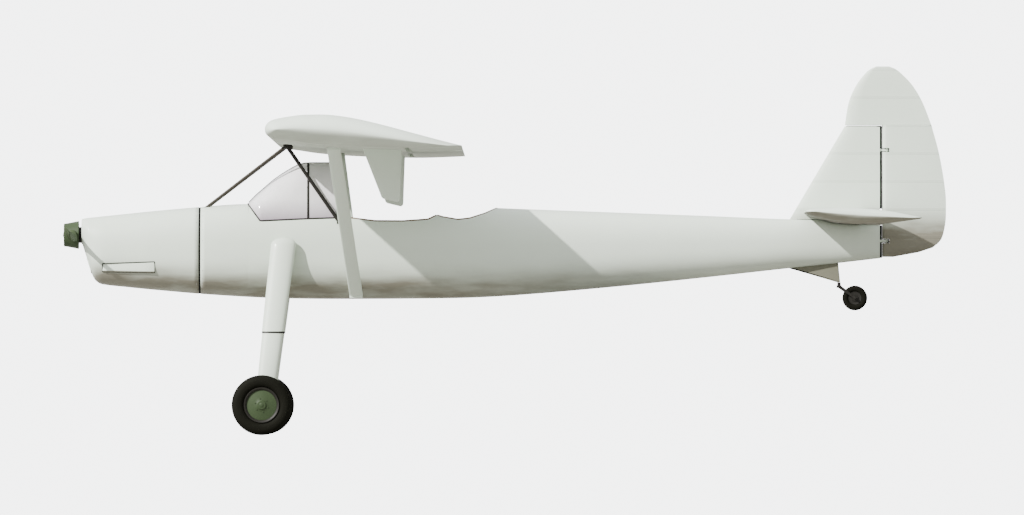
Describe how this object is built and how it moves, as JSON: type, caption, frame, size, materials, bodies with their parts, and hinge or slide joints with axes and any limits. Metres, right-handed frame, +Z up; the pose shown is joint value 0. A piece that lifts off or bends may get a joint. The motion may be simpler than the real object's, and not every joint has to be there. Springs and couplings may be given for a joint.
{
  "type": "two-seat parasol-wing light aircraft",
  "caption": "Tailwheel light aircraft with a high parasol wing on tubes and struts, long fixed legs, open cockpits behind a glazed windscreen and a tall round rudder.",
  "frame": {"origin": "on the floor under the middle of the parked aircraft", "axes": "-X to the nose, +X to the tail, -Y to the left wing, +Z up; the fuselage is pitched nose up as it parks"},
  "size_m": [8.7542, 11, 3.0002],
  "materials": {
    "pale_skin": "satin paint",
    "pale_fabric": "doped and painted cloth",
    "dark_green": "satin paint",
    "black_rubber": "matt",
    "dark_steel": "satin black-brown paint",
    "engine_iron": "cast",
    "clear_glass": "clear",
    "cockpit_grey": "matt paint",
    "brown_leather": "worn leather"
  },
  "bodies": {
    "airframe": {"cowling": "pale_skin", "firewall": "dark_steel", "side_left": "pale_skin", "side_right": "pale_skin", "belly": "pale_skin", "nose_deck": "pale_skin", "rear_deck": "pale_skin", "cockpit_bridge": "pale_skin", "windscreen_bow": "pale_skin", "hood_bow": "pale_skin", "exhaust_left": "pale_skin", "exhaust_right": "pale_skin", "lift_strut_left": "pale_skin", "lift_strut_right": "pale_skin", "wing_fin_left": "pale_skin", "wing_fin_right": "pale_skin", "leg_upper_left": "pale_skin", "leg_upper_right": "pale_skin", "leg_lower_left": "pale_skin", "leg_lower_right": "pale_skin", "tail_pylon": "pale_skin", "rear_fuselage": "pale_fabric", "fin": "pale_fabric", "tailplane": "pale_fabric", "wing_centre": "pale_fabric", "wing_left": "pale_fabric", "wing_right": "pale_fabric", "engine_block": "engine_iron", "cockpit_floor": "cockpit_grey", "front_panel": "cockpit_grey", "rear_panel": "cockpit_grey", "front_seat": "brown_leather", "rear_seat": "brown_leather", "control_sticks": "dark_steel", "windscreen": "clear_glass", "hood": "clear_glass", "cabane_front_left": "dark_steel", "cabane_front_right": "dark_steel", "cabane_rear_left": "dark_steel", "cabane_rear_right": "dark_steel"},
    "propeller": {"spinner": "dark_green", "propeller_blades": "dark_green", "propeller_shaft": "dark_steel"},
    "main_wheel_left": {"tyre_left": "black_rubber", "wheel_left": "dark_green"},
    "main_wheel_right": {"tyre_right": "black_rubber", "wheel_right": "dark_green"},
    "tail_swivel": {"tail_fork": "dark_steel"},
    "tail_wheel_set": {"tail_tyre": "black_rubber", "tail_wheel": "dark_steel"},
    "rudder": {"rudder": "pale_fabric"},
    "elevator": {"elevator": "pale_fabric"},
    "aileron_left": {"aileron_left": "pale_fabric"},
    "aileron_right": {"aileron_right": "pale_fabric"},
    "flap_left": {"flap_left": "pale_fabric"},
    "flap_right": {"flap_right": "pale_fabric"}
  },
  "joints": [
    {"name": "propeller_spin", "type": "hinge", "parent": "airframe", "child": "propeller", "pos_m": [-4.28002, 0, 2.35877], "axis": [0.9785, 0, -0.2065], "continuous": true},
    {"name": "wheel_left_spin", "type": "hinge", "parent": "airframe", "child": "main_wheel_left", "pos_m": [-2.7573, -1.15, 0.3], "axis": [0, 1, 0], "continuous": true},
    {"name": "wheel_right_spin", "type": "hinge", "parent": "airframe", "child": "main_wheel_right", "pos_m": [-2.7573, 1.15, 0.3], "axis": [0, 1, 0], "continuous": true},
    {"name": "tail_swivel_turn", "type": "hinge", "parent": "airframe", "child": "tail_swivel", "pos_m": [3.12635, 0, 0.28482], "axis": [0.2065, 0, 0.9785], "range_deg": [-45, 45]},
    {"name": "tail_wheel_spin", "type": "hinge", "parent": "tail_swivel", "child": "tail_wheel_set", "pos_m": [3.25411, 0, 0.125], "axis": [0, 1, 0], "continuous": true},
    {"name": "rudder_turn", "type": "hinge", "parent": "airframe", "child": "rudder", "pos_m": [3.68197, 0, 0.61726], "axis": [0.2065, 0, 0.9785], "range_deg": [-28, 28]},
    {"name": "elevator_turn", "type": "hinge", "parent": "airframe", "child": "elevator", "pos_m": [3.54968, 0, 0.88638], "axis": [0, 1, 0], "range_deg": [-25, 25]},
    {"name": "aileron_left_turn", "type": "hinge", "parent": "airframe", "child": "aileron_left", "pos_m": [-0.73445, -4.05, 2.52425], "axis": [0, 1, 0], "range_deg": [-22, 22]},
    {"name": "aileron_right_turn", "type": "hinge", "parent": "airframe", "child": "aileron_right", "pos_m": [-0.73445, 4.05, 2.52425], "axis": [0, 1, 0], "range_deg": [-22, 22]},
    {"name": "flap_left_turn", "type": "hinge", "parent": "airframe", "child": "flap_left", "pos_m": [-0.73445, -1.8, 2.52425], "axis": [0, 1, 0], "range_deg": [0, 40]},
    {"name": "flap_right_turn", "type": "hinge", "parent": "airframe", "child": "flap_right", "pos_m": [-0.73445, 1.8, 2.52425], "axis": [0, 1, 0], "range_deg": [0, 40]}
  ],
  "couplings": [
    {"joint": "aileron_right_turn", "follows": "aileron_left_turn", "ratio": -1},
    {"joint": "flap_right_turn", "follows": "flap_left_turn", "ratio": 1}
  ]
}
